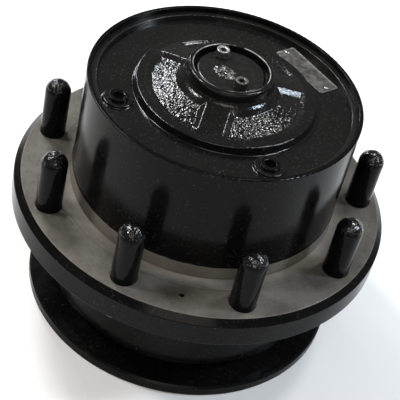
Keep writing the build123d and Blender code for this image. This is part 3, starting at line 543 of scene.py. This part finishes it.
def build_disconnect_cap(material):
    """The cap in the boss: a shouldered plate with a rough cast pad and a spot face under each screw."""
    shell, segments = Shell(), 300
    holes = [polar(SCREW_CIRCLE_R, a) for a in SCREW_ANGLES]
    turn = math.radians(-36)

    def shift(r, a, z):
        """The pad's rough relief, and a shallow spot face round each screw."""
        p = Vector((r * math.cos(a), r * math.sin(a), 3.0))
        x, y = p.x + 5.0, p.y + 5.0
        along, across = x * math.cos(turn) + y * math.sin(turn), y * math.cos(turn) - x * math.sin(turn)
        edge = math.hypot(along / 12.0, across / 8.5) + 0.10 * noise.noise(p / 3.0)
        pad = smooth((1.05 - edge) / 0.12)
        pattern = 0.55 * noise.noise(p / 1.7) + 0.3 * noise.noise(p / 0.9)
        near = min(math.hypot(p.x - hx, p.y - hy) for hx, hy in holes)
        spot = -0.3 * smooth((8.4 - near) / 0.8)
        return 0.0, 0.06 * noise.noise(p / 5) + pad * (0.9 + pattern) + spot

    side = [(0, 283.02), (34.9, 283.02), (CAP_PLATE_R, 283.3), (CAP_PLATE_R, 284.7), (35.0, 285.2)]
    side += [(34.3, 286.2), (33.4, 287.2), (32.5, 287.9)]
    rows = [lathe_row(r, z, segments) for r, z in side]
    rows += [lathe_row(31.4 - 0.75 * i, CAP_PLATE_Z, segments, shift=shift) for i in range(42)]
    rows.append([(0, 0, (CAP_PLATE_Z + 0.9) * MM)])
    shell.rings(rows, segments)
    return piece("disconnect_cap_plate", shell, material, "hub", "disconnect_cap",
                 sharp=60)


def build_cap_screws(materials):
    """Socket-head screws: straight knurling round the head, bevelled rims and a six-sided hole."""
    shell, segments, split = Shell(), 144, []
    for k, angle in enumerate(SCREW_ANGLES):
        at = polar(SCREW_CIRCLE_R, angle)

        def knurl(r, a, z):
            return (0.16 * math.cos(36 * a) if 289.2 < z < 295.2 and r > 6 else 0.0), 0.0

        first = len(shell.faces)
        outer = [(3.4, 271.2), (4.0, 272), (4.0, 288.32), (6.1, 288.32), (6.35, 288.7), (6.35, 289.4)]
        outer += [(6.35, z) for z in (290.5, 292, 293.5, 294.9)] + arc(5.7, 295.6, 0.65, 0, 90, 4)
        rows = [lathe_row(0, 271.2, segments, at)]
        rows += [lathe_row(r, z, segments, at, knurl) for r, z in outer]
        rows += [lathe_row(4.1, 296.2, segments, at), hexagon_row(6.5, 295.7, segments, at, 0.3 + k)]
        rows += [hexagon_row(6.0, z, segments, at, 0.3 + k) for z in (295.2, 292.0)]
        rows += [lathe_row(0, 291.2, segments, at)]
        shell.rings(rows, segments)
        split.append((first, len(shell.faces)))
    obj = piece("cap_screws_knurled", shell, materials[0], "hub", "cap_screws", sharp=35)
    obj.data.materials.append(materials[1])
    for i in range(*split[1]):
        obj.data.polygons[i].material_index = 1
    return obj


def plate_point(x, y):
    """A point given from the nameplate's middle, across and along it, as a point on the cover."""
    u, cosine, sine = PLATE_CENTRE_R + x, math.cos(PLATE_TURN), math.sin(PLATE_TURN)
    return u * cosine - y * sine, u * sine + y * cosine


def build_nameplate(material):
    """A blank plate: rounded corners, a thin raised border, and a slight bow."""
    corner = 2.0

    def outline(inset):
        """Points round the plate, inset from its edge, no more than about 3 mm apart."""
        points = []
        for quarter in range(4):
            sx = 1 if quarter in (0, 3) else -1
            sy = 1 if quarter in (0, 1) else -1
            cx, cy = sx * (PLATE_WIDTH / 2 - corner), sy * (PLATE_LENGTH / 2 - corner)
            for i in range(9):
                a = math.radians(90 * quarter + 90 * i / 8)
                points.append((cx + (corner - inset) * math.cos(a), cy + (corner - inset) * math.sin(a)))
        full = []
        for (x0, y0), (x1, y1) in zip(points, points[1:] + points[:1]):
            count = max(1, round(math.hypot(x1 - x0, y1 - y0) / 3))
            full += [(x0 + (x1 - x0) * i / count, y0 + (y1 - y0) * i / count) for i in range(count)]
        return full

    def row(inset, z):
        """The outline at a height on the cover. Past the corners it shrinks towards the plate's middle."""
        edge = min(inset, corner - 0.1)
        shrink = (inset - edge) / 12.5
        out = []
        for x, y in outline(edge):
            x, y = x * (1 - shrink), y * (1 - shrink * 0.9)
            bow = 0.10 * math.sin(y / 9) + 0.08 * noise.noise(Vector((x, y, 1)) / 6) if z > 0.3 else 0
            px, py = plate_point(x, y)
            out.append((px * MM, py * MM, (COVER_Z + z + bow) * MM))
        return out

    levels = [(0.15, 0.03), (0.0, 0.2), (0.0, 0.85), (0.2, 1.0), (0.9, 1.0), (1.15, 0.72), (1.8, 0.7)]
    levels += [(3.5, 0.7), (6.0, 0.7), (9.0, 0.7), (12.0, 0.7)]
    rows = [row(inset, z) for inset, z in levels]
    segments = len(rows[0])
    shell = Shell()
    shell.rings(rows, segments)
    shell.faces.append(tuple(range(segments)))
    shell.faces.append(tuple(range(len(shell.vertices) - segments, len(shell.vertices))))
    return piece("nameplate_blank", shell, material, "hub", "nameplate", sharp=50)


def build_plate_pins(material):
    """Round-headed drive pins, one at each end of the nameplate."""
    shell, segments = Shell(), 32
    for side in (-1, 1):
        at = plate_point(0, side * PIN_OFFSET)
        rows = [lathe_row(0, 255.6, segments, at), lathe_row(1.4, 255.6, segments, at)]
        rows += [lathe_row(1.5, 260.2, segments, at), lathe_row(2.6, 260.3, segments, at)]
        rows += [lathe_row(2.6 * math.cos(a), 260.6 + 1.0 * math.sin(a), segments, at)
                 for a in [math.radians(15 * i) for i in range(6)]]
        rows.append(lathe_row(0, 261.6, segments, at))
        shell.rings(rows, segments)
    return piece("nameplate_drive_pins", shell, material, "hub", "nameplate_pins", sharp=50)


def build_springs(name, node, places, coil, material, body):
    """Coil springs wound from round wire. coil gives the coil's and wire's radius and both end heights."""
    radius, wire, low, high = coil
    shell, turns, steps, sides = Shell(), 4, 28, 10
    for cx, cy in places:
        rows = []
        for i in range(turns * steps + 1):
            a, z = TAU * i / steps, low + (high - low) * i / (turns * steps)
            around = [(radius + wire * math.cos(TAU * k / sides), wire * math.sin(TAU * k / sides))
                      for k in range(sides)]
            rows.append([((cx + r * math.cos(a)) * MM, (cy + r * math.sin(a)) * MM, (z + dz) * MM)
                         for r, dz in around])
        start, end = [((cx + radius) * MM, cy * MM, z * MM) for z in (low, high)]
        shell.rings([[start]] + rows + [[end]], sides)
    return piece(name, shell, material, body, node, sharp=60)


# ---- materials on the pieces -----------------------------------------------------------------------------
nodes = frame["nodes"]


def dress(material, *names):
    """Gives CAD nodes that are carried over their only material."""
    for name in names:
        data = nodes[name].data
        data.materials.clear()
        data.materials.append(material)


black = paint("black_enamel")
dress(hub_finish(), "hub_housing", "ring_gear")
dress(paint("spindle_enamel", peel=1.4, film=1.6, rough=0.2), "spindle")
dress(oxide("snap_ring_oxide", 0.014, 0.2), "cover_snap_ring")
dress(metal("zinc_plated", (0.3, 0.29, 0.26), (0.5, 0.49, 0.45), 0.32), "nut_lock_ring", "retainer_clip")
dress(metal("dull_zinc", (0.12, 0.115, 0.1), (0.24, 0.23, 0.21), 0.42), "wheel_studs")
dress(oxide("black_oxide", 0.03, 0.35), "carrier_screws", "port_cover_bolts")
ground = metal("ground_steel", (0.42, 0.42, 0.42), (0.6, 0.6, 0.6), 0.22)
bronze = metal("bearing_bronze", (0.42, 0.27, 0.11), (0.6, 0.42, 0.2), 0.3)
iron = casting("grey_iron")
seal = rubber("seal_rubber")
by_slot = {"ground_steel": ground, "cast_iron": iron, "bronze": bronze, "copper_washer": black,
           "seal_rubber": seal}
for entry in frame["record"]["subparts"]:
    if entry["material_slot"] in by_slot:
        dress(by_slot[entry["material_slot"]], entry["node"])

build_cover([cover_paint(), pocket_skin()])
build_caps([vinyl("cap_sides_vinyl", 0.1, 0.08), vinyl("cap_domes_vinyl", 0.95, 0.5)])
plug_paint = paint("plug_enamel", peel=0.7, rough=0.16)
build_plug("fill_plug_socket", "fill_plug", FILL_PLUG, 0.2, plug_paint)
build_plug("level_plug_socket", "level_plug", LEVEL_PLUG, 0.7, plug_paint)
build_disconnect_cap(oxide("cap_plate_steel", 0.011, 0.22, worn=0.9, worn_above=CAP_PLATE_Z + 1,
                           wear=(0.5, 0.6)))
build_cap_screws([oxide("screw_worn", 0.05, 0.3, worn=0.95, worn_above=SCREW_TOP_Z - 0.45),
                  oxide("screw_dark", 0.03, 0.3, worn=0.15, worn_above=SCREW_TOP_Z - 0.45)])

# each set of springs gets a mesh of its own
spring_steel = oxide("spring_oxide", 0.03, 0.3)
springs = build_springs("brake_springs_wound", "brake_springs", [polar(42, 45 * k) for k in range(8)],
                        (4.2, 0.9, 106.2, 117.8), spring_steel, "spindle")
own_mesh(springs)
springs = build_springs("shift_spring_wound", "shift_spring", [(0, 0)], (8.5, 1.1, 89.5, 106.5), spring_steel,
                        "motor_shaft")
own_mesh(springs)

build_nameplate(plate_metal())
build_plate_pins(metal("drive_pins", (0.3, 0.3, 0.3), (0.5, 0.5, 0.5), 0.3))

# ---- floor, lights and world -----------------------------------------------------------------------------
floor_mesh = bpy.data.meshes.new("floor")
bm = bmesh.new()
bmesh.ops.create_grid(bm, x_segments=1, y_segments=1, size=4)
bm.to_mesh(floor_mesh)
bm.free()
floor = bpy.data.objects.new("floor", floor_mesh)
bpy.context.scene.collection.objects.link(floor)
g = Graph("pale_floor")
floor_mesh.materials.append(g.finish(g.mix(g.noise(180, 3.0), grey(0.86), grey(0.9)), 0.75, specular=0.1))


def area(name, place, target, size, power, color=(1, 1, 1), height=None):
    """A soft rectangular light at a place, turned to a target."""
    light = bpy.data.lights.new(name, "AREA")
    light.shape = "RECTANGLE"
    light.size, light.size_y = size, height or size
    light.energy, light.color = power, color
    obj = bpy.data.objects.new(name, light)
    turn = (Vector(target) - Vector(place)).to_track_quat("-Z", "Y")
    obj.matrix_world = Matrix.Translation(Vector(place)) @ turn.to_matrix().to_4x4()
    bpy.context.scene.collection.objects.link(obj)


area("key_left", (-1.9, -0.2, 2.2), (0, 0, 0.15), 0.4, 42, (1, 0.98, 0.95))
area("fill_right", (2.1, 0.2, 1.9), (0, 0, 0.15), 0.4, 42, (0.75, 0.87, 1))
area("front", (0.3, -2.4, 2.6), (0, 0, 0.1), 1.8, 30, (1, 0.96, 0.9))
area("high_left", (-1.1, 1.0, 1.8), (0, 0, 0.25), 0.42, 26)
area("high_right", (0.8, 0.66, 2.1), (0, 0, 0.25), 0.32, 13)
area("back_strip", (-1.1, 1.7, 1.0), (0, 0, 0.25), 0.1, 14, (0.85, 0.92, 1), height=0.8)

world = bpy.data.worlds.new("studio")
bpy.context.scene.world = world
bpy.context.scene.view_settings.view_transform = "Standard"
world.use_nodes = True
world.node_tree.nodes["Background"].inputs["Color"].default_value = (1.0, 0.97, 0.93, 1)
world.node_tree.nodes["Background"].inputs["Strength"].default_value = 0.2

# ---- camera ----------------------------------------------------------------------------------------------
# The camera looks at the middle of the wheel face. Its distance is in wheel face radii.
ELEVATION, ROLL = math.radians(41.08), math.radians(14.51)
DISTANCE, SHIFT_RIGHT, SHIFT_DOWN = 6.794, 0.011, 0.096
forward = Vector((0, math.cos(ELEVATION), -math.sin(ELEVATION)))
right, up = Vector((1, 0, 0)), Vector((0, math.sin(ELEVATION), math.cos(ELEVATION)))
offset = -forward * DISTANCE + right * SHIFT_RIGHT - up * SHIFT_DOWN
place = offset * (WHEEL_FACE_R * MM) + Vector((0, 0, WHEEL_FACE_Z * MM))
rolled_right = right * math.cos(ROLL) + up * math.sin(ROLL)
rolled_up = -right * math.sin(ROLL) + up * math.cos(ROLL)
camera = bpy.data.objects.new("camera", bpy.data.cameras.new("camera"))
camera.data.lens = 110.2
camera.data.sensor_width = 36
camera.matrix_world = Matrix((
    (rolled_right.x, rolled_up.x, -forward.x, place.x),
    (rolled_right.y, rolled_up.y, -forward.y, place.y),
    (rolled_right.z, rolled_up.z, -forward.z, place.z),
    (0, 0, 0, 1)))
bpy.context.scene.collection.objects.link(camera)
bpy.context.scene.camera = camera
